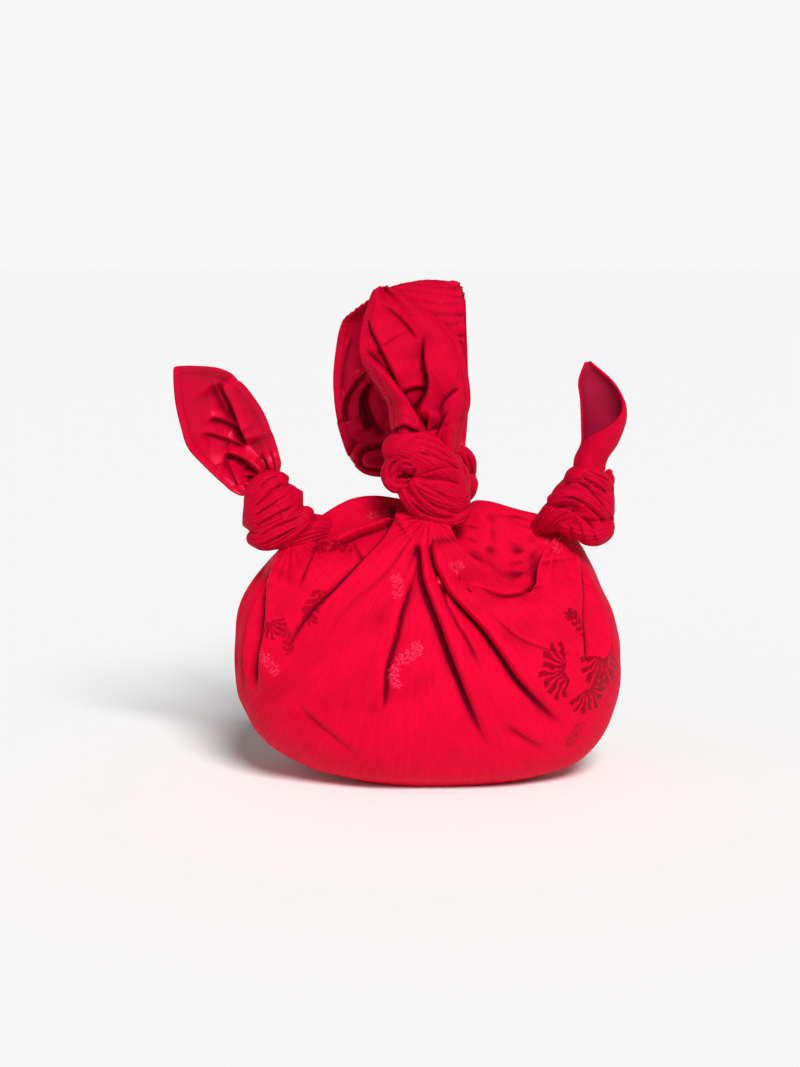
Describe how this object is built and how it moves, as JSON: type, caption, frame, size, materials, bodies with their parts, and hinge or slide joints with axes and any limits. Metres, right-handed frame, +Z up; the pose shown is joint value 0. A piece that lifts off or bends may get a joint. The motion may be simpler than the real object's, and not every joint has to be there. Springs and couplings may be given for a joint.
{
  "type": "knotted handbag",
  "caption": "Soft handbag tied from a lined crepe cloth: a gathered pouch, knotted corners that end in leaf-shaped tails, and broad tails folded over into a loop handle.",
  "frame": {"origin": "centre of the flat base that the pouch stands on", "axes": "+X to the bag's right as seen from the front, +Y to the back, +Z up; the loop handle is a tunnel along X"},
  "size_m": [0.3483, 0.1672, 0.3854],
  "materials": {
    "crepe": "matt crepe with tone-on-tone woven motifs",
    "satin": "glossy satin lining"
  },
  "bodies": {
    "root": {"pouch": "crepe", "left_knot": "crepe", "right_knot": "crepe", "front_knot": "crepe", "rear_knot": "crepe", "left_tail": "satin", "right_tail": "crepe", "front_tail": "crepe", "rear_band": "satin"}
  },
  "joints": []
}
